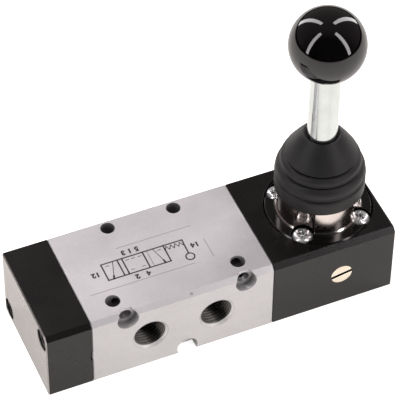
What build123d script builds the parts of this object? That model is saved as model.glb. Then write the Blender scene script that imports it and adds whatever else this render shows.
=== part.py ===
from build123d import *
import math
import os

# Hand lever air valve, 5/3, spring centred, 1/8 inch ports.
# +X runs along the spool towards the lever, -Y is the side of the two working ports, +Z is up.
# The origin is the centre of the valve body's underside. All sizes in mm.

# Blocks
body_length = 51.0
cap_length = 12.5
housing_length = 35.0
block_width = 32.0
block_height = 22.0
edge_chamfer = 1.3           # along the top front edge of all three blocks
end_chamfer = 0.3            # round both ends of the body and the outer ends of the others
spool_z = block_height / 2
body_left = -body_length / 2
body_right = body_length / 2
cap_left = body_left - cap_length
housing_right = body_right + housing_length
front = -block_width / 2
back = block_width / 2

# Ports: three behind, two in front, at one pitch along the spool
port_end_margin = 2.125
port_pitch = (body_length - 2 * port_end_margin) / 5
port_r = 4.864               # full thread radius, G 1/8
port_depth = block_width / 4
port_mouth = 0.15
passage_r = 2.6

# Spool and its packing
spool_bore_r = 6.5
packing_clearance = 0.05     # between the packing and the bore
packing_r = spool_bore_r - packing_clearance
spool_r = 4.0
spool_travel = 3.0           # each way from the middle
spool_clearance = 0.05       # between the seals and the spool
cage_clearance = 0.5         # between the spacers and the spool
seal_width = 1.6
window_r = 2.2
groove_r = 2.4
stem_r = 1.75
stem_clearance = 0.03
spool_left = body_left - 2.5
spool_shoulder = body_right + 3.0
spring_pocket_depth = 4.0

# Centring springs, one against each end of the spool
spring_wire_r = 0.3
spring_end_gap = 0.02
cap_spring_r = 2.5           # to the middle of the wire
housing_spring_r = 3.8
spring_clearance = 0.3       # round the outside of each spring
spring_pocket_r = cap_spring_r + spring_wire_r + spring_clearance
cap_chamber_r = spool_r + 0.8
cap_chamber_depth = spring_pocket_depth + 5.5
spring_chamber_r = housing_spring_r + spring_wire_r + 3 * spring_clearance

# Lever mechanism, about a ball on the lever axis
lever_x = body_right + 19.75
pivot_z = block_height + 3.5
ball_r = 6.0
ball_clearance = 0.03
tip_r = 2.5
tip_clearance = 0.05
tip_neck_r = 1.6
coupling_r = 4.2
coupling_length = 7.4
coupling_chamfer = 1.3
coupling_neck_r = 2.9
coupling_neck_clearance = 0.3
cavity_clearance = 0.8       # round the coupling, beyond its travel
cavity_r = coupling_length / 2 + spool_travel + cavity_clearance
cavity_floor = spool_z - coupling_r - 1.5
web_length = 2.0
web_right = lever_x - cavity_r + 0.1
web_left = web_right - web_length
stud_end = lever_x - coupling_length / 2 - 2.55

# Lever, boot and flange
rod_r = 4.0
shank_r = 2.9
rod_bottom = pivot_z + 10.5
knob_r = 10.0
knob_z = pivot_z + 54.7
knob_flat = 8.0              # from the ball's centre down to its flat
rod_top = knob_z - knob_flat
knob_stud_r = 2.45
insert_r = 3.5
insert_step = 0.5            # knob material under the insert
ball_flat = math.sqrt(ball_r ** 2 - (shank_r + 0.1) ** 2)
rod_stud_r = 2.0
tip_stud_r = 1.5
flange_r = 14.45
flange_gap = 0.2             # round the flange in its recess
flange_recess = 2.6
gasket_thickness = 0.4
flange_plate = 2.3
flange_web = 0.6             # left under each screw head
flange_rim = 0.4
cover_r = 11.1               # upright wall above the plate
cover_foot = 0.6             # sloping foot of the wall
cover_top = block_height + 8.4
collar_r = 9.4               # upstand that the boot grips
collar_wall = 1.8
collar_height = 2.1
seat_foot_r = 8.3
seat_r = 7.4
seat_height = 4.3
seat_depth = 4.0             # below the top of the housing
seat_gap = 0.15
seat_hole_r = 4.2
shank_gap = 1.6              # for the shank to swing in
recess_floor = block_height - flange_recess
flange_bottom = recess_floor + gasket_thickness
flange_rim_top = flange_bottom + flange_plate
seat_bottom = block_height - seat_depth
seat_top = seat_bottom + seat_height

# Boot: radius of each step and the height of its lower edge above the cover
boot_r = 12.0
boot_clearance = 0.1
boot_wall = 1.2
boot_steps = [(11.9, 5.0), (10.7, 9.0), (9.55, 11.9)]
boot_height = 19.4
boot_lip = 0.95
boot_rod_clearance = 0.12

# Fasteners, M3 throughout
screw_r = 1.47
screw_clearance = 0.03       # in a tapped hole
screw_play = 0.13            # in a plain hole
screw_hole_r = screw_r + screw_clearance
screw_pass_r = screw_r + screw_play
cap_head_r = 2.75
cap_head_height = 3.0
head_gap = 0.25
socket_r = 1.25
socket_depth = 1.6
counterbore_r = cap_head_r + head_gap
counterbore_depth = 3.5
long_counterbore_depth = 5.5
screw_bite = 4.0
tap_runout = 0.5
block_screw_y = block_width / 2 - 3.3
cap_screw_z = block_height / 2 - 3.45
housing_screw_z = block_height / 2 - 4.7
pan_head_r = 2.8
pan_head_height = 1.9
pan_head_gap = 0.25
flange_screw_offset = 8.25
flange_screw_length = 7.0
screw_seat = flange_bottom + flange_web
flange_screw_tip = screw_seat - flange_screw_length
recess_width = 3.0           # cross recess
recess_slot = 0.7
guide_screw_r = 3.0
guide_screw_clearance = 0.03
guide_screw_z = spool_z - 0.3
guide_point_r = 1.4
guide_key = 2.9              # width of the coupling's keyway
guide_key_depth = 1.2

# Fixing holes
front_hole_spacing = 35.0
front_hole_y = front + 5.7
front_hole_r = 2.0
back_hole_y = back - 2.4
back_hole_r = 1.95
manifold_x = 1.0             # centre of the row of horizontal fixing holes
manifold_spacing = 33.0
manifold_z = block_height - 2.45
manifold_hole_r = 1.65
manifold_pocket_r = 2.95
manifold_pocket_depth = 2.2
notch_z = 1.5
notch_depth = 2.9

# Vent slot between the cap and the body, open at the front
vent_depth = 0.5
vent_height = 2.9
vent_z = spool_z - 1.0


def rod_x(x0, x1, r, y=0.0, z=spool_z):
    return Pos((x0 + x1) / 2, y, z) * Rot(0, 90, 0) * Cylinder(r, x1 - x0)


def rod_y(y0, y1, r, x=0.0, z=spool_z):
    return Pos(x, (y0 + y1) / 2, z) * Rot(90, 0, 0) * Cylinder(r, y1 - y0)


def rod_z(z0, z1, r, x=0.0, y=0.0):
    return Pos(x, y, (z0 + z1) / 2) * Cylinder(r, z1 - z0)


def tube_x(x0, x1, outer, inner):
    return rod_x(x0, x1, outer) - rod_x(x0, x1, inner)


def turned(outline):
    """A closed outline of radius and height, turned about the lever axis."""
    return Pos(lever_x, 0, 0) * revolve(make_face(outline), Axis.Z)


def straight(*pairs):
    return Polyline(*[(r, 0, z) for r, z in pairs])


def curved(*pairs):
    return ThreePointArc(*[(r, 0, z) for r, z in pairs])


def block(x0, x1):
    """One of the three blocks, with the chamfer they share along the top front edge."""
    shape = Pos((x0 + x1) / 2, 0, block_height / 2) * Box(x1 - x0, block_width, block_height)
    edge = shape.edges().filter_by(Axis.X).sort_by(lambda e: e.center().Y - e.center().Z)[0]
    return chamfer(edge, edge_chamfer)


def corner_places(z_offset):
    """Two opposite corners of a block, as seen along the spool."""
    return [(-block_screw_y, spool_z + z_offset), (block_screw_y, spool_z - z_offset)]


def flange_screw_places():
    s = flange_screw_offset
    return [(lever_x + i * s, j * s) for i in (-1, 1) for j in (-1, 1)]


def port(x, side):
    """Threaded port on the back (side 1) or front (side -1), with its passage to the spool bore."""
    face, bottom = side * back, side * (back - port_depth)
    wall = rod_y(min(face, bottom), max(face, bottom), port_r, x)
    passage = rod_y(min(bottom, 0), max(bottom, 0), passage_r, x)
    mouth = Pos(x, face - side * port_mouth / 2, spool_z) * Rot(side * -90, 0, 0) * Cone(
        port_r, port_r + port_mouth, port_mouth
    )
    return wall + passage + mouth


def valve_body():
    shape = block(body_left, body_right)
    ends = shape.faces().sort_by(Axis.X)
    shape = chamfer(ends[0].edges() + ends[-1].edges(), end_chamfer)
    shape -= rod_x(body_left, body_right, spool_bore_r)
    for i in (-2, 0, 2):
        shape -= port(i * port_pitch, 1)
    for i in (-1, 1):
        shape -= port(i * port_pitch, -1)
        shape -= rod_z(0, block_height, back_hole_r, i * port_pitch, back_hole_y)
        shape -= rod_z(0, block_height, front_hole_r, i * front_hole_spacing / 2, front_hole_y)
        x = manifold_x + i * manifold_spacing / 2
        shape -= rod_y(front, back, manifold_hole_r, x, manifold_z)
        shape -= rod_y(front, front + manifold_pocket_depth, manifold_pocket_r, x, manifold_z)
    shape -= rod_y(front, front + notch_depth, manifold_pocket_r, manifold_x, notch_z)
    tap_depth = screw_bite + tap_runout
    for y, z in corner_places(cap_screw_z):
        shape -= rod_x(body_left, body_left + tap_depth, screw_hole_r, y, z)
    for y, z in corner_places(housing_screw_z):
        shape -= rod_x(body_right - tap_depth, body_right, screw_hole_r, y, z)
    return shape


def end_cap():
    shape = block(cap_left, body_left)
    shape = chamfer(shape.faces().sort_by(Axis.X)[0].edges(), end_chamfer)
    shape -= rod_x(body_left - cap_chamber_depth, body_left, cap_chamber_r)
    for y, z in corner_places(cap_screw_z):
        shape -= rod_x(cap_left, body_left, screw_pass_r, y, z)
        shape -= rod_x(cap_left, cap_left + counterbore_depth, counterbore_r, y, z)
    vent = Pos(body_left - vent_depth / 2, front / 2, vent_z) * Box(vent_depth, -front, vent_height)
    return shape - vent


def lever_housing():
    shape = block(body_right, housing_right)
    shape = chamfer(shape.faces().sort_by(Axis.X)[-1].edges(), end_chamfer)
    shape -= rod_x(body_right, web_left, spring_chamber_r)
    shape -= rod_x(body_right, lever_x, coupling_neck_r + coupling_neck_clearance)
    shape -= rod_z(cavity_floor, block_height, cavity_r, lever_x)
    shape -= rod_z(seat_bottom, block_height, seat_foot_r + seat_gap, lever_x)
    shape -= rod_z(recess_floor, block_height, flange_r + flange_gap, lever_x)
    shape -= rod_y(front, 0, guide_screw_r + guide_screw_clearance, lever_x, guide_screw_z)
    for x, y in flange_screw_places():
        shape -= rod_z(flange_screw_tip - tap_runout, block_height, screw_hole_r, x, y)
    for y, z in corner_places(housing_screw_z):
        shape -= rod_x(body_right, housing_right, screw_pass_r, y, z)
        shape -= rod_x(housing_right - long_counterbore_depth, housing_right, counterbore_r, y, z)
    return shape


def socket_screw(seat, tip, y, z):
    """Socket head screw along X, its head's underside at the seat."""
    out = 1 if seat > tip else -1
    head_end = seat + out * cap_head_height
    head = rod_x(min(seat, head_end), max(seat, head_end), cap_head_r, y, z)
    shank = rod_x(min(seat, tip), max(seat, tip), screw_r, y, z)
    socket = extrude(RegularPolygon(socket_r, 6, major_radius=False), socket_depth)
    turn = Rot(0, 90, 0) if out < 0 else Rot(0, -90, 0)
    return head + shank - Pos(head_end, y, z) * turn * socket


def cap_screw(place):
    y, z = corner_places(cap_screw_z)[place]
    return socket_screw(cap_left + counterbore_depth, body_left + screw_bite, y, z)


def housing_screw(place):
    y, z = corner_places(housing_screw_z)[place]
    return socket_screw(housing_right - long_counterbore_depth, body_right - screw_bite, y, z)


def flange_screw(place):
    """Pan head screw with a cross recess, sunk in the flange's plate."""
    x, y = flange_screw_places()[place]
    head_top = screw_seat + pan_head_height
    head = rod_z(screw_seat, head_top, pan_head_r, x, y)
    head = chamfer(head.edges().sort_by(Axis.Z)[-1], pan_head_height * 0.35, pan_head_height * 0.6)
    wing = Box(recess_width, recess_slot, pan_head_height)
    recess = Pos(x, y, head_top) * (wing + Rot(0, 0, 90) * wing)
    return head + rod_z(flange_screw_tip, screw_seat, screw_r, x, y) - recess


def guide_screw():
    """Slotted screw with a dog point that keeps the spool coupling from turning."""
    point_end = -coupling_r + guide_key_depth - 0.2
    shoulder = -cavity_r - 0.6
    shape = rod_y(front, shoulder, guide_screw_r, lever_x, guide_screw_z)
    shape += rod_y(shoulder, point_end, guide_point_r, lever_x, guide_screw_z)
    slot = Pos(lever_x, front, guide_screw_z) * Rot(0, -10, 0) * Box(8, 2.0, 0.9)
    return shape - slot


def seal_places():
    return [(i + 0.5) * port_pitch for i in range(-3, 3)]


def spool_seals():
    inner = spool_r + spool_clearance
    rings = [tube_x(x - seal_width / 2, x + seal_width / 2, packing_r, inner) for x in seal_places()]
    return Compound(rings)


def spacer(i):
    """Cage between two seals, with a window to the port in front and behind."""
    x, half = i * port_pitch, (port_pitch - seal_width) / 2
    shape = tube_x(x - half, x + half, packing_r, spool_r + cage_clearance)
    return shape - rod_y(-spool_bore_r, spool_bore_r, window_r, x)


def end_ring(side):
    """Ring that closes the packing at one end of the body."""
    inner_end = seal_places()[-1] + seal_width / 2
    x0, x1 = sorted((side * inner_end, side * body_right))
    return tube_x(x0, x1, packing_r, spool_r + 0.2)


def spool():
    """Two narrow waists between three lands, a spring pocket at one end, a stem at the other."""
    shape = rod_x(spool_left, spool_shoulder, spool_r)
    near = port_pitch / 2 + seal_width / 2 + 0.3
    far = 1.5 * port_pitch - seal_width / 2 - 0.3
    for side in (-1, 1):
        x0, x1 = sorted((side * near, side * far))
        shape -= tube_x(x0, x1, spool_r, groove_r)
    shape -= rod_x(spool_left, spool_left + spring_pocket_depth, spring_pocket_r)
    return shape + rod_x(spool_shoulder, stud_end, stem_r)


def coil(x0, x1, mean_r, turns):
    """Compression spring along the spool, its wire just clear of both seats."""
    height = x1 - x0 - 2 * (spring_wire_r + spring_end_gap)
    path = Helix(height / turns, height, mean_r)
    section = Plane(path @ 0, z_dir=path % 0) * RegularPolygon(spring_wire_r, 6)
    wire = sweep(section, path, is_frenet=True)
    return Pos(x0 + spring_wire_r + spring_end_gap, 0, spool_z) * Rot(0, 90, 0) * wire


def cap_spring():
    return coil(body_left - cap_chamber_depth, spool_left + spring_pocket_depth, cap_spring_r, 5)


def housing_spring():
    return coil(spool_shoulder, web_left, housing_spring_r, 4)


def spool_coupling():
    """Head with an upright hole for the lever tip, and a neck screwed on the spool's stem."""
    head_left, head_right = lever_x - coupling_length / 2, lever_x + coupling_length / 2
    head = rod_x(head_left, head_right, coupling_r)
    head = chamfer(head.edges().filter_by(GeomType.CIRCLE), coupling_chamfer)
    head -= Pos(lever_x, -coupling_r, guide_screw_z) * Box(coupling_length, 2 * guide_key_depth, guide_key)
    neck = rod_x(spool_shoulder, head_left, coupling_neck_r)
    shape = head + neck - rod_x(spool_shoulder, stud_end + 0.05, stem_r + stem_clearance)
    return shape - rod_z(0, block_height, tip_r + tip_clearance, lever_x)


def ball_seat():
    """Lower half of the ball joint, a plastic ring with a spherical seat, clamped by its foot."""
    shape = rod_z(seat_bottom, flange_bottom, seat_foot_r, lever_x)
    shape += rod_z(flange_bottom, seat_top, seat_r, lever_x)
    shape -= rod_z(seat_bottom, seat_top, seat_hole_r, lever_x)
    return shape - Pos(lever_x, 0, pivot_z) * Sphere(ball_r + ball_clearance)


def flange_gasket():
    ring = rod_z(recess_floor, flange_bottom, flange_r, lever_x)
    ring -= rod_z(recess_floor, flange_bottom, seat_foot_r + seat_gap, lever_x)
    for x, y in flange_screw_places():
        ring -= rod_z(recess_floor, flange_bottom, screw_pass_r, x, y)
    return ring


def boot_flange():
    """Round cover over the ball: a plate with sunk screws, a wall, and a collar for the boot."""
    plate = straight(
        (0, cover_top + collar_height), (0, flange_bottom), (flange_r, flange_bottom),
        (flange_r, flange_rim_top - flange_rim), (flange_r - flange_rim, flange_rim_top),
        (cover_r + cover_foot, flange_rim_top), (cover_r, flange_rim_top + cover_foot),
    )
    wall = straight(
        (cover_r, flange_rim_top + cover_foot), (cover_r, cover_top), (collar_r, cover_top),
        (collar_r, cover_top + collar_height), (0, cover_top + collar_height),
    )
    shape = turned(plate + wall)
    shape -= rod_z(cover_top, cover_top + collar_height, collar_r - collar_wall, lever_x)
    shape -= rod_z(flange_bottom, seat_top, seat_r + seat_gap, lever_x)
    shape -= rod_z(flange_bottom, pivot_z, ball_r + ball_clearance, lever_x)
    shape -= Pos(lever_x, 0, pivot_z) * Sphere(ball_r + ball_clearance)
    shape -= rod_z(pivot_z, cover_top, shank_r + shank_gap, lever_x)
    for x, y in flange_screw_places():
        shape -= rod_z(screw_seat, cover_top, pan_head_r + pan_head_gap, x, y)
        shape -= rod_z(flange_bottom, screw_seat, screw_pass_r, x, y)
    return shape


def boot():
    """Rubber bellows: a skirt, three steps with undercut edges, and a cone that closes on the rod."""
    inner, lip = collar_r + boot_clearance, rod_r + boot_rod_clearance
    edges = [(r - 0.15, h) for r, h in boot_steps]
    grooves = [(r - 0.8, h - 0.35) for r, h in boot_steps]
    linings = [(r - boot_wall, h) for r, h in grooves]
    skin = straight(
        (inner, 0), (boot_r - 0.4, 0), (boot_r, 0.4), (boot_r, grooves[0][1] - 0.6), grooves[0], edges[0],
    )
    for i in (0, 1):
        r, h = boot_steps[i]
        rise = boot_steps[i + 1][1] - h
        crest = (boot_steps[i + 1][0] + 0.1, h + rise - 0.6)
        skin += curved(edges[i], (r, h + 0.4 * rise), crest)
        skin += straight(crest, grooves[i + 1], edges[i + 1])
    r, h = boot_steps[2]
    cone = straight(edges[2], (r, h + 0.4), (lip + boot_lip, boot_height - 0.3), (lip + 0.4, boot_height))
    lining = straight(
        (lip + 0.4, boot_height), (lip, boot_height), (lip, boot_height - 1.6), linings[2], linings[1],
        linings[0], (linings[0][0], collar_height + 1.2), (inner, collar_height), (inner, 0),
    )
    return Pos(0, 0, cover_top) * turned(skin + cone + lining)


def pivot_ball():
    """Ball with a flat at each pole, bored for the rod's stud above and the tip's below."""
    shape = Pos(lever_x, 0, pivot_z) * Sphere(ball_r)
    shape &= rod_z(pivot_z - ball_flat, pivot_z + ball_flat, ball_r + 1, lever_x)
    shape -= rod_z(pivot_z + 0.5, pivot_z + ball_flat, rod_stud_r + stem_clearance, lever_x)
    return shape - rod_z(pivot_z - ball_flat, pivot_z - 0.5, tip_stud_r + stem_clearance, lever_x)


def lever_tip():
    """Lower arm, screwed into the ball, with a ball end that moves the spool."""
    shape = Pos(lever_x, 0, spool_z) * Sphere(tip_r)
    shape += rod_z(spool_z, pivot_z - ball_flat, tip_neck_r, lever_x)
    shape += rod_z(pivot_z - ball_flat - 1.2, pivot_z - ball_flat, tip_neck_r + 0.8, lever_x)
    return shape + rod_z(pivot_z - ball_flat, pivot_z - 1.0, tip_stud_r, lever_x)


def lever_rod():
    """Bright rod with a slimmer shank into the ball and a stud into the knob."""
    rod = rod_z(rod_bottom, rod_top, rod_r, lever_x)
    rod = chamfer(rod.edges().filter_by(GeomType.CIRCLE), 0.4)
    rod += rod_z(pivot_z + ball_flat, rod_bottom, shank_r, lever_x)
    rod += rod_z(pivot_z + 1.0, pivot_z + ball_flat, rod_stud_r, lever_x)
    return rod + rod_z(rod_top, knob_z - 1.0, knob_stud_r, lever_x)


def knob_insert():
    bottom = rod_top + insert_step
    bore = rod_z(bottom, knob_z - 0.5, knob_stud_r + stem_clearance, lever_x)
    return rod_z(bottom, knob_z, insert_r, lever_x) - bore


def knob():
    """Ball knob with a flat that stands on the rod."""
    shape = Pos(lever_x, 0, knob_z) * Sphere(knob_r)
    shape &= rod_z(rod_top, knob_z + knob_r, knob_r, lever_x)
    shape -= rod_z(rod_top, rod_top + insert_step, knob_stud_r + 0.15, lever_x)
    return shape - rod_z(rod_top + insert_step, knob_z, insert_r, lever_x)


parts = {
    "valve_body": valve_body(),
    "end_cap": end_cap(),
    "lever_housing": lever_housing(),
    "cap_screw_1": cap_screw(0),
    "cap_screw_2": cap_screw(1),
    "housing_screw_1": housing_screw(0),
    "housing_screw_2": housing_screw(1),
    "guide_screw": guide_screw(),
    "flange_gasket": flange_gasket(),
    "boot_flange": boot_flange(),
    "flange_screw_1": flange_screw(0),
    "flange_screw_2": flange_screw(1),
    "flange_screw_3": flange_screw(2),
    "flange_screw_4": flange_screw(3),
    "ball_seat": ball_seat(),
    "boot": boot(),
    "spool_seals": spool_seals(),
    "spacer_port_3": spacer(-2),
    "spacer_port_2": spacer(-1),
    "spacer_port_1": spacer(0),
    "spacer_port_4": spacer(1),
    "spacer_port_5": spacer(2),
    "end_ring_left": end_ring(-1),
    "end_ring_right": end_ring(1),
    "cap_spring": cap_spring(),
    "housing_spring": housing_spring(),
    "spool": spool(),
    "spool_coupling": spool_coupling(),
    "lever_tip": lever_tip(),
    "pivot_ball": pivot_ball(),
    "lever_rod": lever_rod(),
    "knob": knob(),
    "knob_insert": knob_insert(),
}

os.makedirs("parts", exist_ok=True)
for name, shape in parts.items():
    export_step(shape, f"parts/{name}.step")
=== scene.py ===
"""Hand lever air valve: finishes for the CAD nodes, modelled pieces, light and camera."""

import math

import bmesh
import bpy
from mathutils import Matrix, Vector

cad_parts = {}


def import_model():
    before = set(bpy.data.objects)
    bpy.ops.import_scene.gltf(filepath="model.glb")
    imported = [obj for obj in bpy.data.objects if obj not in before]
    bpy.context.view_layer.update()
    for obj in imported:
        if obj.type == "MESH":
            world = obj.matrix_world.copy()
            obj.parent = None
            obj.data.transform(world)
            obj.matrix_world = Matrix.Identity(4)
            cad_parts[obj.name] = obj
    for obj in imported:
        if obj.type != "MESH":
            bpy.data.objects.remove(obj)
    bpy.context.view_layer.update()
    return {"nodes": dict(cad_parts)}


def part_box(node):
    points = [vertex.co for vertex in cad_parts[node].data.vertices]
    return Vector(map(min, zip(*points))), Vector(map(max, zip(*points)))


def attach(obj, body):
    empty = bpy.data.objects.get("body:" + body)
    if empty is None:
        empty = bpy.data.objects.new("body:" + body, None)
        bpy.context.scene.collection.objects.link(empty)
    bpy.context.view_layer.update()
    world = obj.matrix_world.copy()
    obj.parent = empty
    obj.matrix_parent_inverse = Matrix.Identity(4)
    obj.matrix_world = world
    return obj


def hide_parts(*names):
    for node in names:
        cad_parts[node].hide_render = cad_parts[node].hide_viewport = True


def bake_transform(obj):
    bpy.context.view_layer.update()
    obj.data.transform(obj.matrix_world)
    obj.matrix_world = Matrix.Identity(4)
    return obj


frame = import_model()
nodes = frame["nodes"]
scene = bpy.context.scene
MM = 0.001

# Places from the CAD nodes, in metres
body_lo, body_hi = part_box("valve_body")
flange_lo, flange_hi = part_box("boot_flange")
boot_lo, boot_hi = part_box("boot")
knob_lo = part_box("knob")[0]
lever_x = (flange_lo.x + flange_hi.x) / 2
front_y, top_z = body_lo.y, body_hi.z
cap_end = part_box("end_cap")[0].x
spool_z = top_z / 2


# ---------------------------------------------------------------- materials

class Graph:
    """A short way to write a material's nodes."""

    def __init__(self, name):
        self.mat = bpy.data.materials.new(name)
        self.mat.use_nodes = True
        self.tree = self.mat.node_tree
        self.tree.nodes.clear()
        self.shader = self.add("ShaderNodeBsdfPrincipled")
        out = self.add("ShaderNodeOutputMaterial")
        self.link(self.shader.outputs["BSDF"], out.inputs["Surface"])
        self.coord = self.add("ShaderNodeTexCoord").outputs["Object"]

    def add(self, kind, **values):
        node = self.tree.nodes.new(kind)
        for key, value in values.items():
            setattr(node, key, value)
        return node

    def link(self, a, b):
        self.tree.links.new(a, b)

    def noise(self, scale, detail, rough, stretch=(1, 1, 1)):
        """Noise with scale cells to the metre; a stretch below 1 draws it out along that axis."""
        place = self.add("ShaderNodeMapping")
        place.inputs["Scale"].default_value = stretch
        self.link(self.coord, place.inputs["Vector"])
        tex = self.add("ShaderNodeTexNoise")
        tex.inputs["Scale"].default_value = scale
        tex.inputs["Detail"].default_value = detail
        tex.inputs["Roughness"].default_value = rough
        self.link(place.outputs["Vector"], tex.inputs["Vector"])
        return tex.outputs["Fac"]

    def ramp(self, fac, stops):
        """Colour from two stops of (position, colour)."""
        node = self.add("ShaderNodeValToRGB")
        for element, (position, colour) in zip(node.color_ramp.elements, stops):
            element.position, element.color = position, (*colour, 1)
        self.link(fac, node.inputs["Fac"])
        return node.outputs["Color"]

    def rescale(self, fac, lo, hi, lo_in=0.25, hi_in=0.75):
        """fac from lo_in to hi_in becomes lo to hi, and no further."""
        node = self.add("ShaderNodeMapRange")
        for end, value in (("From Min", lo_in), ("From Max", hi_in), ("To Min", lo), ("To Max", hi)):
            node.inputs[end].default_value = value
        self.link(fac, node.inputs["Value"])
        return node.outputs["Result"]

    def mix(self, fac, a, b):
        """Colour a where fac is 0, b where it is 1."""
        node = self.add("ShaderNodeMix", data_type="RGBA")
        self.link(fac, node.inputs["Factor"])
        for value, socket in ((a, node.inputs["A"]), (b, node.inputs["B"])):
            if isinstance(value, tuple):
                socket.default_value = (*value, 1)
            else:
                self.link(value, socket)
        return node.outputs["Result"]

    def recess(self, reach, lo, hi):
        """Ambient occlusion mask for painted shade: 0 deep inside holes and grooves, 1 on open faces; reach
        in mm.
        """
        node = self.add("ShaderNodeAmbientOcclusion", samples=8, only_local=True)
        node.inputs["Distance"].default_value = reach * MM
        return self.rescale(node.outputs["AO"], 0, 1, lo, hi)

    def math(self, operation, a, b, c=0.0):
        node = self.add("ShaderNodeMath", operation=operation)
        for value, socket in zip((a, b, c), node.inputs):
            if isinstance(value, (int, float)):
                socket.default_value = value
            else:
                self.link(value, socket)
        return node.outputs["Value"]

    def bumps(self, layers, edge=0.0):
        """Bump layers of (height, strength, distance in mm), on edges rounded by the shader."""
        normal = None
        if edge:
            bevel = self.add("ShaderNodeBevel", samples=6)
            bevel.inputs["Radius"].default_value = edge * MM
            normal = bevel.outputs["Normal"]
        for height, strength, distance in layers:
            node = self.add("ShaderNodeBump")
            node.inputs["Strength"].default_value = strength
            node.inputs["Distance"].default_value = distance * MM
            self.link(height, node.inputs["Height"])
            if normal is not None:
                self.link(normal, node.inputs["Normal"])
            normal = node.outputs["Normal"]
        self.link(normal, self.shader.inputs["Normal"])

    def set(self, **values):
        """Give the shader's inputs numbers or nodes, and return the finished material."""
        for key, value in values.items():
            socket = self.shader.inputs[key.replace("_", " ")]
            if isinstance(value, (int, float)):
                socket.default_value = value
            else:
                self.link(value, socket)
        return self.mat


def aluminium(name, dark, light, metal):
    """Extruded and tumbled: faint lines along the spool, a fine grain, cloudy tone, and painted shade in
    holes and grooves.
    """
    g = Graph(name)
    drawn = g.noise(900, 4, 0.6, (0.06, 1, 1))
    blast = g.noise(5200, 2, 0.6)
    cloud = g.noise(55, 4, 0.6)
    streak = g.noise(300, 5, 0.7, (0.3, 1, 1))
    g.bumps([(drawn, 0.10, 0.05), (blast, 0.22, 0.04)], edge=0.12)
    mottle = g.noise(1300, 3, 0.6)
    tone = g.math("MULTIPLY_ADD", streak, 0.22, g.math("MULTIPLY", cloud, 0.5))
    tone = g.math("MULTIPLY_ADD", mottle, 0.28, tone)
    face = g.ramp(tone, [(0.36, dark), (0.64, light)])
    # Painted shade: the colour falls towards 0.22 of the dark tone deep in holes and grooves.
    return g.set(
        Base_Color=g.mix(g.recess(5, 0.25, 0.78), tuple(c * 0.22 for c in dark), face), Metallic=metal,
        Roughness=g.rescale(cloud, 0.36, 0.46), IOR=1.5,
    )


def black_anodised():
    """Black on all faces but the sawn end of the cap, which is bare with a broken edge."""
    g = Graph("black_anodised")
    place = g.add("ShaderNodeSeparateXYZ")
    g.link(g.coord, place.inputs["Vector"])
    broken_edge = 0.31 * MM
    bare = g.math("LESS_THAN", place.outputs["X"], cap_end + broken_edge)
    drawn = g.noise(900, 4, 0.6, (0.05, 1, 1))
    grain = g.noise(6000, 2, 0.6)
    cloud = g.noise(60, 4, 0.6)
    saw = g.noise(1400, 3, 0.6, (1, 0.12, 1))
    black = g.ramp(cloud, [(0.3, (0.0035, 0.0031, 0.0026)), (0.7, (0.006, 0.0054, 0.0046))])
    metal = g.ramp(saw, [(0.25, (0.34, 0.325, 0.315)), (0.75, (0.42, 0.40, 0.385))])
    g.bumps([(drawn, 0.10, 0.04), (grain, 0.16, 0.03)], edge=0.15)
    return g.set(
        Base_Color=g.mix(bare, black, metal), Metallic=g.math("MULTIPLY", bare, 0.7),
        Roughness=g.rescale(cloud, 0.24, 0.32), IOR=1.45,
    )


def knob_gloss():
    """Polished black thermoset, very slightly wavy."""
    g = Graph("knob_gloss")
    cloud = g.noise(120, 3, 0.5)
    wave = g.noise(420, 2, 0.5)
    dark = (0.0018, 0.0016, 0.0017)
    tint = g.ramp(cloud, [(0.3, dark), (0.7, tuple(c * 1.7 for c in dark))])
    g.bumps([(wave, 0.015, 0.05)], edge=0.12)
    return g.set(Base_Color=tint, Roughness=g.rescale(cloud, 0.03, 0.06), IOR=1.6)


def boot_flange_finish():
    """Black gloss disc under a polished, warm-toned cover wall."""
    g = Graph("flange_gloss")
    place = g.add("ShaderNodeSeparateXYZ")
    g.link(g.coord, place.inputs["Vector"])
    wall_start = 0.35 * MM
    wall = g.math("GREATER_THAN", place.outputs["Z"], top_z + wall_start)
    cloud = g.noise(120, 3, 0.5)
    drawn = g.noise(700, 3, 0.5, (1, 1, 0.15))
    black = g.ramp(cloud, [(0.3, (0.0035, 0.0031, 0.0027)), (0.7, (0.006, 0.0054, 0.0048))])
    plate = g.ramp(cloud, [(0.3, (0.66, 0.59, 0.55)), (0.7, (0.77, 0.70, 0.66))])
    g.bumps([(drawn, 0.05, 0.05)], edge=0.12)
    return g.set(
        Base_Color=g.mix(wall, black, plate), Metallic=wall, Roughness=g.rescale(cloud, 0.13, 0.20), IOR=1.5,
    )


def rubber(name, dark, light, rough):
    """Matt rubber with a faint bloom, a painted highlight where it is convex and painted shade, near black,
    in its folds.
    """
    g = Graph(name)
    bloom = g.noise(90, 5, 0.65)
    pores = g.noise(4200, 2, 0.6)
    g.bumps([(g.noise(700, 3, 0.6), 0.06, 0.06), (pores, 0.12, 0.03)])
    # Painted highlight: the colour rises to four times the light tone on convex rims.
    convex = g.add("ShaderNodeNewGeometry").outputs["Pointiness"]
    rim = g.rescale(convex, 0, 1, 0.53, 0.60)
    face = g.mix(rim, g.ramp(bloom, [(0.3, dark), (0.72, light)]), tuple(c * 4 for c in light))
    # Painted shade: near black deep in the folds.
    return g.set(
        Base_Color=g.mix(g.recess(2.2, 0.35, 0.8), (0.001, 0.001, 0.001), face),
        Roughness=g.rescale(bloom, *rough), IOR=1.45,
    )


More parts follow.
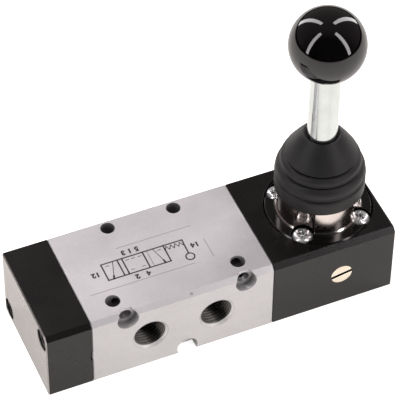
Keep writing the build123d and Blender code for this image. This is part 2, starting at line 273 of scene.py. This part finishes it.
def plated(name, low, high, rough=(0.14, 0.26), stretch=(1, 1, 1), grain=0.08, metal=1.0, reach=0.9):
    """Bright plated steel: faint drawing lines, patches of duller plating, and painted shade in recesses and
    slots.
    """
    g = Graph(name)
    lines = g.noise(1500, 4, 0.6, stretch)
    cloud = g.noise(160, 4, 0.6)
    g.bumps([(lines, grain, 0.04)], edge=0.08)
    face = g.ramp(cloud, [(0.3, low), (0.7, high)])
    # Painted shade: the colour falls towards 0.08 of the low tone deep in recesses.
    return g.set(
        Base_Color=g.mix(g.recess(reach, 0.35, 0.7), tuple(c * 0.08 for c in low), face), Metallic=metal,
        Roughness=g.rescale(cloud, *rough),
    )


def moulded(name, low, high):
    """Machined plastic, a little uneven in tone."""
    g = Graph(name)
    cloud = g.noise(140, 3, 0.5)
    g.bumps([(g.noise(2500, 2, 0.6), 0.08, 0.03)], edge=0.08)
    return g.set(Base_Color=g.ramp(cloud, [(0.3, low), (0.7, high)]), Roughness=g.rescale(cloud, 0.35, 0.5))


def etched():
    """Laser marking: dark brown-black, a little uneven."""
    g = Graph("etched_marking")
    cloud = g.noise(1800, 3, 0.6)
    return g.set(
        Base_Color=g.ramp(cloud, [(0.25, (0.018, 0.012, 0.013)), (0.75, (0.05, 0.04, 0.042))]),
        Roughness=g.rescale(cloud, 0.55, 0.75),
    )


def faint_mark():
    """Grey marking, barely darker than the metal round it."""
    g = Graph("faint_marking")
    cloud = g.noise(900, 3, 0.6)
    return g.set(
        Base_Color=g.ramp(cloud, [(0.25, (0.40, 0.385, 0.39)), (0.75, (0.46, 0.445, 0.45))]), Metallic=0.5,
        Roughness=g.rescale(cloud, 0.45, 0.6),
    )


M = {
    "aluminium": aluminium("satin_aluminium", (0.68, 0.668, 0.677), (0.775, 0.76, 0.77), 0.45),
    # Painted highlight: the countersinks are a lighter copy of the body's aluminium, standing for their
    # glint.
    "mouth": aluminium("countersink_painted_glint", (0.86, 0.85, 0.85), (0.95, 0.94, 0.93), 0.3),
    # Painted shade: the port threads are a darker copy of the body's aluminium, standing for the shade
    # inside the ports.
    "thread": aluminium("thread_painted_shade", (0.20, 0.19, 0.18), (0.30, 0.285, 0.27), 1.0),
    "black": black_anodised(),
    "flange": boot_flange_finish(),
    "knob": knob_gloss(),
    "boot": rubber("boot_rubber", (0.0075, 0.0072, 0.0076), (0.015, 0.0145, 0.015), (0.46, 0.60)),
    "seal": rubber("seal_rubber", (0.01, 0.01, 0.01), (0.02, 0.02, 0.02), (0.5, 0.6)),
    "zinc": plated("zinc_plate", (0.66, 0.66, 0.67), (0.80, 0.80, 0.82)),
    "rod": plated("rod_zinc", (0.60, 0.635, 0.615), (0.68, 0.72, 0.695), (0.08, 0.15), (1, 1, 0.04), 0.05),
    "screw": plated("screw_zinc", (0.74, 0.75, 0.75), (0.90, 0.91, 0.91), (0.22, 0.32), metal=0.75),
    # Its reach of 2.5 mm spreads the painted shade through the screwdriver slot.
    "yellow": plated("yellow_zinc", (0.80, 0.70, 0.56), (0.95, 0.86, 0.72), (0.16, 0.28), reach=2.5),
    "brass": plated("turned_brass", (0.62, 0.45, 0.20), (0.75, 0.57, 0.28), (0.2, 0.3)),
    "oxide": plated("black_oxide", (0.02, 0.02, 0.022), (0.05, 0.05, 0.055), (0.3, 0.45)),
    "spring": plated("spring_steel", (0.45, 0.45, 0.46), (0.6, 0.6, 0.62), (0.2, 0.3)),
    "spool": plated("spool_metal", (0.55, 0.55, 0.56), (0.68, 0.68, 0.69), (0.12, 0.2)),
    "acetal": moulded("acetal", (0.62, 0.60, 0.54), (0.74, 0.72, 0.66)),
    "etched": etched(),
    "faint": faint_mark(),
}

finish_of = {
    "valve_body": "aluminium", "end_cap": "black", "lever_housing": "black", "guide_screw": "yellow",
    "flange_gasket": "seal", "boot_flange": "flange", "ball_seat": "acetal", "boot": "boot",
    "spool_seals": "seal", "end_ring_left": "acetal", "end_ring_right": "acetal", "cap_spring": "spring",
    "housing_spring": "spring", "spool": "spool", "spool_coupling": "zinc", "lever_tip": "zinc",
    "pivot_ball": "zinc", "lever_rod": "rod", "knob": "knob", "knob_insert": "brass",
}
for i in range(1, 6):
    finish_of[f"spacer_port_{i}"] = "acetal"
for i in range(1, 5):
    finish_of[f"flange_screw_{i}"] = "screw"
for i in (1, 2):
    finish_of[f"cap_screw_{i}"] = "oxide"
    finish_of[f"housing_screw_{i}"] = "oxide"

for name, obj in nodes.items():
    if not obj.material_slots:
        obj.data.materials.append(None)
    for slot in obj.material_slots:
        slot.material = M[finish_of[name]]


# ---------------------------------------------------------------- pieces

def new_piece(name, bm, material, body, smooth=True):
    mesh = bpy.data.meshes.new(name)
    bmesh.ops.recalc_face_normals(bm, faces=bm.faces)
    bm.to_mesh(mesh)
    bm.free()
    for poly in mesh.polygons:
        poly.use_smooth = smooth
    obj = bpy.data.objects.new(name, mesh)
    scene.collection.objects.link(obj)
    obj.data.materials.append(material)
    if body:
        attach(obj, body)
    return obj


def skin_rings(bm, rings, closed=False):
    """Quads between rings of vertices. The last ring joins the first if closed, or both ends are capped."""
    for a, b in zip(rings, rings[1:] + rings[:1] if closed else rings[1:]):
        n = len(a)
        for i in range(n):
            bm.faces.new((a[i], a[(i + 1) % n], b[(i + 1) % n], b[i]))
    if not closed:
        bm.faces.new(rings[-1])
        bm.faces.new(list(reversed(rings[0])))


def turn_angles(count):
    """Angles of count points spread evenly round a circle."""
    return [2 * math.pi * k / count for k in range(count)]


def smooth_curve(points, steps):
    """Catmull-Rom through (radius, height) points."""
    out = []
    for i in range(len(points) - 1):
        p0, p1, p2 = points[max(i - 1, 0)], points[i], points[i + 1]
        p3 = points[min(i + 2, len(points) - 1)]
        for s in range(steps):
            t = s / steps
            out.append(tuple(
                0.5 * (2 * b + (c - a) * t + (2 * a - 5 * b + 4 * c - d) * t * t
                       + (3 * b - a - 3 * c + d) * t ** 3)
                for a, b, c, d in zip(p0, p1, p2, p3)
            ))
    return out + [points[-1]]


# Ports, in mm: the thread's radii and lead, the radius of the back of its lining, how far the mouth is below
# the face, and how far below the mouth the countersink ends and the thread starts and ends
THREAD_MINOR, THREAD_MAJOR, THREAD_LEAD = 4.30, 4.84, 0.907
LINING_R = 4.85
FACE_DROP = 0.12
MOUTH_DEPTH, THREAD_START, THREAD_END = 0.5, 0.6, 7.9
PORT_AROUND = 72


def port_ring(bm, x, side, radii, depth):
    """Vertices round one port's axis at a depth, with a radius for each."""
    y = side * (abs(front_y) / MM - FACE_DROP - depth) * MM
    return [
        bm.verts.new((x + r * MM * math.cos(a), y, spool_z + r * MM * math.sin(a)))
        for r, a in zip(radii, turn_angles(PORT_AROUND))
    ]


def port_mouth(number, x, side):
    """Countersink at the mouth of a port."""
    bm = bmesh.new()
    profile = (
        (THREAD_MAJOR, 0.0), (THREAD_MINOR + 0.04, MOUTH_DEPTH), (THREAD_MINOR + 0.08, THREAD_START),
        (LINING_R, THREAD_START),
    )
    rings = [port_ring(bm, x, side, [r] * PORT_AROUND, depth) for r, depth in profile]
    skin_rings(bm, rings, closed=True)
    new_piece(f"mouth_port_{number}", bm, M["mouth"], "valve", smooth=False)


def thread_radius(depth, k):
    """Radius of the thread's surface at the k-th point round: flat crests and roots, sloped flanks."""
    flat, slope = 0.12, 0.76
    phase = (depth / THREAD_LEAD - k / PORT_AROUND) % 1.0
    rise = min(max((abs(2 * phase - 1) - flat) / slope, 0), 1)
    return THREAD_MINOR + (THREAD_MAJOR - THREAD_MINOR) * rise


def port_thread(number, x, side):
    """Parallel pipe thread, 28 to the inch, lining one port behind its countersink."""
    step = THREAD_LEAD / 8
    count = int((THREAD_END - MOUTH_DEPTH) / step)
    bm = bmesh.new()
    rings = []
    for j in range(count + 1):
        depth = THREAD_START + j * step
        radii = [thread_radius(depth, k) for k in range(PORT_AROUND)]
        rings.append(port_ring(bm, x, side, radii, depth))
    for depth in (THREAD_END, THREAD_START):
        rings.append(port_ring(bm, x, side, [LINING_R] * PORT_AROUND, depth))
    skin_rings(bm, rings, closed=True)
    new_piece(f"thread_port_{number}", bm, M["thread"], "valve")


# Working ports 2 and 4 in front, the supply and the exhausts behind, each in line with its cage
for number, side in ((3, 1), (2, -1), (1, 1), (4, -1), (5, 1)):
    cage_lo, cage_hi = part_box(f"spacer_port_{number}")
    port_x = (cage_lo.x + cage_hi.x) / 2
    port_mouth(number, port_x, side)
    port_thread(number, port_x, side)


def bellows():
    """Rubber boot: a skirt, three steps with beaded edges, and a cone up to the rod."""
    # radius and height above the flange, in mm: the outside from the foot up, then the inside back down
    skin = smooth_curve([
        (11.6, 0.0), (11.9, 0.1), (12.0, 0.5), (12.03, 2.0), (12.0, 3.4), (11.85, 4.0), (11.4, 4.45),
        (10.8, 4.62), (10.65, 4.72), (10.8, 4.82), (11.75, 5.03), (12.0, 5.2), (12.0, 5.45),
        (11.88, 5.75), (11.84, 6.6), (11.6, 7.4), (11.15, 8.0), (10.5, 8.38), (9.6, 8.58),
        (9.45, 8.68), (9.6, 8.78), (10.58, 8.96), (10.82, 9.12), (10.82, 9.34), (10.68, 9.62),
        (10.62, 10.1), (10.4, 10.6), (9.95, 11.02), (9.3, 11.3), (8.5, 11.48), (8.35, 11.58),
        (8.5, 11.68), (9.42, 11.86), (9.64, 12.02), (9.64, 12.24), (9.46, 12.48), (9.26, 12.8),
        (8.05, 14.7), (6.75, 16.6), (5.85, 17.7), (5.25, 18.35), (4.9, 18.62), (4.5, 18.7), (4.2, 18.58),
    ], 4)
    lining = [
        (4.08, 18.3), (4.08, 17.5), (7.7, 12.5), (7.7, 11.3), (8.7, 8.9), (9.9, 4.7), (9.9, 3.2),
        (9.5, 2.12), (9.5, 0.02),
    ]
    bm = bmesh.new()
    rings = [
        [
            bm.verts.new((lever_x + r * MM * math.cos(a), r * MM * math.sin(a), boot_lo.z + h * MM))
            for a in turn_angles(128)
        ]
        for r, h in skin + lining
    ]
    skin_rings(bm, rings, closed=True)
    boot = new_piece("boot_bellows", bm, M["boot"], None)
    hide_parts("boot")
    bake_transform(boot)


bellows()


def centring_spring(name, node, turns):
    """Coil along the spool, in the place of the CAD spring it stands for."""
    lo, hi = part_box(node)
    wire_r = 0.3 * MM
    coil_r = (hi.y - lo.y) / 2 - wire_r
    first, length = lo.x + wire_r, hi.x - lo.x - 2 * wire_r
    per_turn = 28
    count = turns * per_turn
    step = 2 * math.pi / per_turn
    advance = length / count / step
    bm = bmesh.new()
    rings = []
    for i in range(count + 1):
        a = i * step
        out = Vector((0, math.cos(a), math.sin(a)))
        along = Vector((advance, -coil_r * math.sin(a), coil_r * math.cos(a))).normalized()
        side = along.cross(out)
        middle = Vector((first + length * i / count, 0, spool_z)) + out * coil_r
        rings.append([
            bm.verts.new(middle + (out * math.cos(b) + side * math.sin(b)) * wire_r)
            for b in turn_angles(10)
        ])
    skin_rings(bm, rings)
    piece = new_piece(name, bm, M["spring"], None)
    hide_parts(node)
    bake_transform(piece)


centring_spring("cap_side_spring", "cap_spring", 5)
centring_spring("housing_side_spring", "housing_spring", 4)


def ramp_down(value, full, none):
    """1 up to full, falling evenly to 0 at none."""
    return min(max((none - value) / (none - full), 0), 1)


def cross_recess(x, y):
    """Depth in mm of a tapered cross recess at a point on a screw head."""
    slot_depth, middle_depth = 1.1, 1.3
    slots = (
        ramp_down(abs(along), 1.0, 1.45) * ramp_down(abs(across), 0.28, 0.42)
        for along, across in ((x, y), (y, x))
    )
    return max(slot_depth * max(slots), middle_depth * ramp_down(math.hypot(x, y), 0.5, 0.85))


def pan_head(number):
    """Pan head screw with a rounded edge and a cross recess, standing for one flange screw."""
    lo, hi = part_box(f"flange_screw_{number}")
    cx, cy = (lo.x + hi.x) / 2, (lo.y + hi.y) / 2
    radius, top = (hi.x - lo.x) / 2 / MM, hi.z / MM + 0.05
    height, crown, shank = 1.95, 0.28, 1.47
    round_width, round_height = 1.25, 1.0
    seat, rim = top - height, top - crown - round_height
    turn = math.radians(12 + 37 * number)
    # radius, height, and whether the cross recess is cut there
    profile = [(shank, lo.z / MM, 0), (shank, seat, 0), (radius, seat, 0), (radius, rim - 0.15, 0)]
    steps = 30
    for k in range(steps):
        r = radius * (1 - k / steps)
        edge = max(r - radius + round_width, 0) / round_width
        fall = crown * (r / radius) ** 2 + round_height * (1 - math.sqrt(1 - edge ** 2))
        profile.append((r, top - fall, 1))
    bm = bmesh.new()
    rings = []
    for r, z, recessed in profile:
        ring = []
        for a in turn_angles(96):
            x, y = r * math.cos(a), r * math.sin(a)
            drop = recessed * cross_recess(r * math.cos(a - turn), r * math.sin(a - turn))
            ring.append(bm.verts.new((cx + x * MM, cy + y * MM, (z - drop) * MM)))
        rings.append(ring)
    skin_rings(bm, rings)
    piece = new_piece(f"pan_head_screw_{number}", bm, M["screw"], "valve")
    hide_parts(f"flange_screw_{number}")


for number in (1, 2, 3, 4):
    pan_head(number)


# ---------------------------------------------------------------- marking on the top face

# The marking stands this far above and below the top face, in mm
MARK_PROUD, MARK_SUNK = 0.006, 0.002


def stroke(bm, a, b, width=0.4):
    """Flat bar from a to b, in mm on the top face."""
    a, b = Vector((*a, 0)), Vector((*b, 0))
    along = (b - a).normalized()
    across = Vector((-along.y, along.x, 0)) * width / 2
    a, b = a - along * width / 2, b + along * width / 2
    corners = (a - across, b - across, b + across, a + across)
    skin_rings(bm, [
        [bm.verts.new((c.x * MM, c.y * MM, top_z + lift * MM)) for c in corners]
        for lift in (-MARK_SUNK, MARK_PROUD)
    ])


def polyline(bm, points, width=0.4):
    """Strokes from each point to the next."""
    for a, b in zip(points, points[1:]):
        stroke(bm, a, b, width)


def symbol():
    """Standard 5/3 symbol, spring centred, hand lever, read from behind the valve."""
    bm = bmesh.new()
    left, right, low, high = -15.8, 1.65, -3.45, 2.25
    spring_end, lever_foot, thin = 7.0, -2.75, 0.2
    polyline(bm, [(spring_end, high), (left, high), (left, low), (right, low), (right, high)])
    for x in (-11.3, -10.0, -4.2):
        stroke(bm, (x, low), (x, high))
    stroke(bm, (-3.0, low + 0.4), (-3.0, high), 0.12)
    # blocked ports, on the back and the front edge of the boxes
    for y, places in ((1.25, (-8.8, -7.2, -5.35, -14.4, 0.15)), (-2.3, (-8.55, -5.5))):
        for x in places:
            stroke(bm, (x - 0.4, y), (x + 0.4, y), thin)
    # flow paths of the end boxes, each with an arrow head
    for tail, tip in (((-12.5, high), (-14.3, low)), ((-1.3, high), (0.2, low))):
        stroke(bm, tail, tip, thin)
        lean = (tip[0] - tail[0]) / (tip[1] - tail[1])
        stroke(bm, (tip[0] + lean, tip[1] + 1.0), tip, 0.5)
    # spring, and the lever hanging from the end of its line
    steps = 8
    coil = (spring_end - 0.3 - right) / steps
    polyline(bm, [(right + k * coil, 1.7 if k % 2 else 0.45) for k in range(steps + 1)], 0.24)
    ring_x, ring_r = spring_end - 0.15, 1.15
    stroke(bm, (spring_end, high), (ring_x, lever_foot))
    around = turn_angles(28)
    polyline(bm, [
        (ring_x + ring_r * math.cos(a), lever_foot - ring_r + ring_r * math.sin(a))
        for a in around + around[:1]
    ], 0.34)
    new_piece("valve_symbol", bm, M["etched"], "valve", smooth=False)


def numeral(text, x, y):
    """Port number on the top face, read from behind the valve; x and y in mm."""
    name = f"mark_{text}"
    curve = bpy.data.curves.new(name, "FONT")
    curve.body = text
    curve.size = 2.1 * MM
    curve.align_x, curve.align_y = "CENTER", "CENTER"
    curve.extrude = (MARK_PROUD + MARK_SUNK) / 2 * MM
    curve.offset = 0.13 * MM
    curve.space_character = 1.12
    obj = bpy.data.objects.new(name, curve)
    scene.collection.objects.link(obj)
    obj.location = (x * MM, y * MM, top_z + (MARK_PROUD - MARK_SUNK) / 2 * MM)
    obj.rotation_euler = (0, 0, math.pi)
    obj.data.materials.append(M["etched"])
    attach(obj, "valve")


symbol()
for text, x, y in (
    ("12", -18.3, -0.5), ("14", 9.5, -0.5), ("3", -8.9, 4.0), ("1", -7.05, 4.0), ("5", -5.15, 4.0),
    ("2", -8.4, -5.0), ("4", -5.3, -5.0),
):
    numeral(text, x, y)


def chamfer_dot():
    """Small drilled mark on the front chamfer of the body."""
    bm = bmesh.new()
    inset = 0.62 * MM
    centre = Vector((2.3 * MM, front_y + inset, top_z - inset))
    normal = Vector((0, -1, 1)).normalized()
    side = Vector((1, 0, 0))
    up = normal.cross(side)
    # radius and height above the chamfer, in mm: a low rim round a shallow hollow
    skin_rings(bm, [
        [
            bm.verts.new(centre + (normal * lift + (side * math.cos(a) + up * math.sin(a)) * radius) * MM)
            for a in turn_angles(24)
        ]
        for radius, lift in ((0.42, -0.02), (0.42, 0.012), (0.3, 0.012), (0.22, -0.01), (0.05, -0.015))
    ])
    new_piece("chamfer_dot", bm, M["faint"], "valve")


chamfer_dot()


def label_frame():
    """Faint, broken outline of the marked field."""
    bm = bmesh.new()
    back, right, front = 6.05, 12.5, -6.5
    lines = (
        ((-10.0, back), (11.0, back)), ((right, 0.3), (right, -6.2)), ((-22.0, front), (7.0, front)),
    )
    for a, b in lines:
        stroke(bm, a, b, 0.24)
    new_piece("marking_frame", bm, M["faint"], "valve", smooth=False)


label_frame()


# ---------------------------------------------------------------- stage, light and camera

def floor_finish():
    """Pale and matt; white to the camera, and to polished metal a warm sheet that darkens far away."""
    g = Graph("pale_floor")
    path = g.add("ShaderNodeLightPath")
    camera_ray, glass_ray = path.outputs["Is Camera Ray"], path.outputs["Is Transmission Ray"]
    glossy_ray = path.outputs["Is Glossy Ray"]
    distance = g.add("ShaderNodeVectorMath", operation="LENGTH")
    g.link(g.coord, distance.inputs[0])
    edge_start, edge_end = 0.50, 0.62
    near = g.rescale(distance.outputs["Value"], 1, 0, edge_start, edge_end)
    far = g.math("MULTIPLY", glossy_ray, g.math("SUBTRACT", 1.0, near))
    sheet = g.ramp(g.noise(3, 2, 0.5), [(0.3, (0.86, 0.86, 0.83)), (0.7, (0.90, 0.90, 0.87))])
    g.set(Base_Color=g.mix(far, sheet, (0.02, 0.02, 0.02)), Roughness=0.9, Specular_IOR_Level=0.0)
    seen, mirrored = 0.8, 0.42
    direct = g.math("MAXIMUM", camera_ray, glass_ray)
    in_metal = g.math("MULTIPLY", g.math("MULTIPLY", glossy_ray, near), mirrored)
    return g.set(
        Emission_Strength=g.math("MULTIPLY_ADD", direct, seen, in_metal),
        Emission_Color=g.mix(glossy_ray, (1.0, 1.0, 1.0), (1.0, 0.94, 0.89)),
    )


def floor():
    bm = bmesh.new()
    half, z = 3.0, -0.2 * MM
    corners = ((-half, -half), (half, -half), (half, half), (-half, half))
    bm.faces.new([bm.verts.new((x, y, z)) for x, y in corners])
    mesh = bpy.data.meshes.new("floor")
    bm.to_mesh(mesh)
    bm.free()
    obj = bpy.data.objects.new("floor", mesh)
    scene.collection.objects.link(obj)
    obj.data.materials.append(floor_finish())


def world():
    """Dim studio: dark behind the camera, paler above and behind the valve."""
    scene.world = bpy.data.worlds.new("studio")
    scene.world.use_nodes = True
    tree = scene.world.node_tree
    tree.nodes.clear()
    place = tree.nodes.new("ShaderNodeTexCoord")
    towards = tree.nodes.new("ShaderNodeVectorMath")
    towards.operation = "DOT_PRODUCT"
    towards.inputs[1].default_value = (0.40, 0.91, 0.10)
    # from -1 to 1 into 0 to 1
    half = tree.nodes.new("ShaderNodeMath")
    half.operation = "MULTIPLY_ADD"
    half.inputs[1].default_value = half.inputs[2].default_value = 0.5
    ramp = tree.nodes.new("ShaderNodeValToRGB")
    stops = ramp.color_ramp.elements
    stops[0].position, stops[0].color = 0.28, (0.012, 0.011, 0.012, 1)
    stops[1].position, stops[1].color = 0.52, (0.13, 0.105, 0.115, 1)
    stops.new(0.95).color = (0.20, 0.175, 0.175, 1)
    shade = tree.nodes.new("ShaderNodeBackground")
    out = tree.nodes.new("ShaderNodeOutputWorld")
    for source, target in (
        (place.outputs["Generated"], towards.inputs[0]), (towards.outputs["Value"], half.inputs[0]),
        (half.outputs["Value"], ramp.inputs["Fac"]), (ramp.outputs["Color"], shade.inputs["Color"]),
        (shade.outputs["Background"], out.inputs["Surface"]),
    ):
        tree.links.new(source, target)


def softbox(name, direction, elevation, width, height, power, distance):
    """Soft light at a compass direction and elevation round the lever, facing it; metres and watts."""
    light = bpy.data.lights.new(name, "AREA")
    light.shape = "RECTANGLE"
    light.size, light.size_y = width, height
    light.energy = power
    light.color = (1.0, 0.965, 0.975)
    obj = bpy.data.objects.new(name, light)
    scene.collection.objects.link(obj)
    flat = Vector((*direction, 0)).normalized() * math.cos(elevation)
    target = Vector((lever_x / 2, 0, knob_lo.z / 2))
    obj.location = target + (flat + Vector((0, 0, math.sin(elevation)))) * distance
    obj.rotation_euler = (target - obj.location).to_track_quat("-Z", "Y").to_euler()
    return obj


def lights():
    """Four tall strips that the knob and the rod reflect, and an overhead fill that they don't."""
    strips = (
        ("softbox_left", (-0.98, -0.12), 1.35), ("softbox_right", (0.60, -0.80), 1.5),
        ("softbox_back_left", (-0.28, 0.96), 1.5), ("softbox_back_right", (0.90, 0.43), 1.5),
    )
    for name, direction, power in strips:
        softbox(name, direction, math.radians(35), 0.095, 0.8, power, 0.6)
    fill = softbox("fill", (-0.35, -0.6), math.radians(70), 0.7, 0.7, 2.2, 1.0)
    fill.visible_glossy = False


floor()
world()
lights()

camera = bpy.data.objects.new("camera", bpy.data.cameras.new("camera"))
scene.collection.objects.link(camera)
camera.data.lens, camera.data.sensor_width = 227.09, 36.0
camera.data.clip_start, camera.data.clip_end = 0.01, 20
# the photograph's viewing angle: right, up and back as columns, then the place in metres
camera.matrix_world = Matrix((
    (0.918927, 0.283352, -0.274382, -0.166761),
    (-0.394339, 0.674841, -0.623768, -0.404342),
    (0.008418, 0.681397, 0.731866, 0.512235),
    (0, 0, 0, 1),
))
scene.camera = camera
scene.view_settings.view_transform = "Standard"
